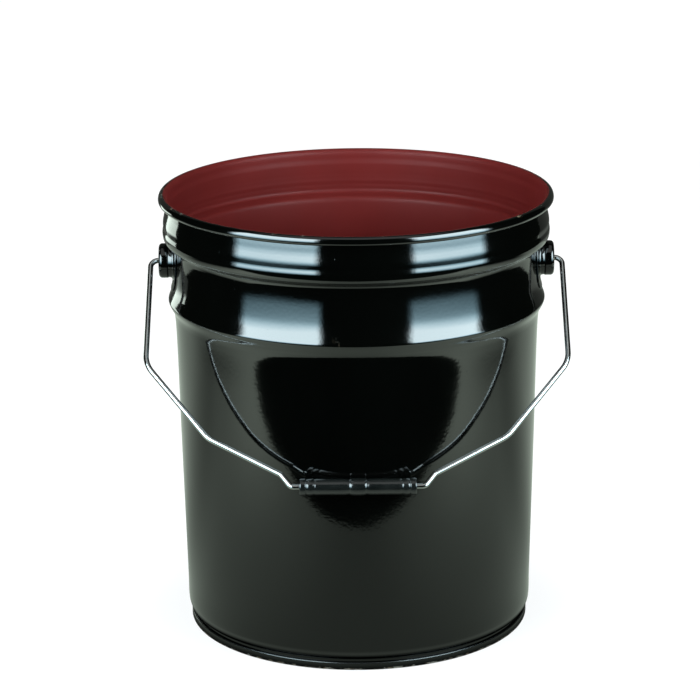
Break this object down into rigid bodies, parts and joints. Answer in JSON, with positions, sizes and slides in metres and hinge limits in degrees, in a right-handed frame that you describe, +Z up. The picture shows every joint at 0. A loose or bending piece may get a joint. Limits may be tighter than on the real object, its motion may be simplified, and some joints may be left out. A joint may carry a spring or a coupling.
{
  "type": "open head steel pail",
  "caption": "Tapered open-head steel pail with a rolled rim, nesting bead, double-seamed bottom, red interior lining, drawn ears and a swinging wire bail with a moulded grip.",
  "frame": {"origin": "centre of the base, on the surface that the bottom seam stands on", "axes": "+Z up along the pail's axis; +X through the right-hand ear along the bail's pivot axis; the bail rests against the front, at -Y"},
  "size_m": [0.322, 0.3016, 0.34],
  "materials": {
    "body_enamel": "gloss black stoved enamel on rolled steel sheet",
    "end_enamel": "gloss black enamel on a stamped steel end, worn at the foot of the seam",
    "compound": "cured seam compound",
    "body_lining": "satin rust-red baked resin coating",
    "bottom_lining": "satin rust-red baked resin coating",
    "ear_enamel": "gloss black enamel on drawn steel",
    "galvanised": "bright drawn galvanised wire",
    "moulded": "black moulded plastic, satin"
  },
  "bodies": {
    "pail": {"pail_body": "body_enamel", "bottom_end": "end_enamel", "seam_compound": "compound", "body_lining": "body_lining", "bottom_lining": "bottom_lining", "left_ear": "ear_enamel", "right_ear": "ear_enamel"},
    "bail": {"bail_wire": "galvanised"},
    "grip": {"bail_grip": "moulded"}
  },
  "joints": [
    {"name": "bail_swing", "type": "hinge", "parent": "pail", "child": "bail", "pos_m": [0, 0, 0.2854], "axis": [-1, 0, 0], "range_deg": [0, 266.4]},
    {"name": "grip_spin", "type": "hinge", "parent": "bail", "child": "grip", "pos_m": [0, -0.14412, 0.14992], "axis": [1, 0, 0], "continuous": true}
  ]
}
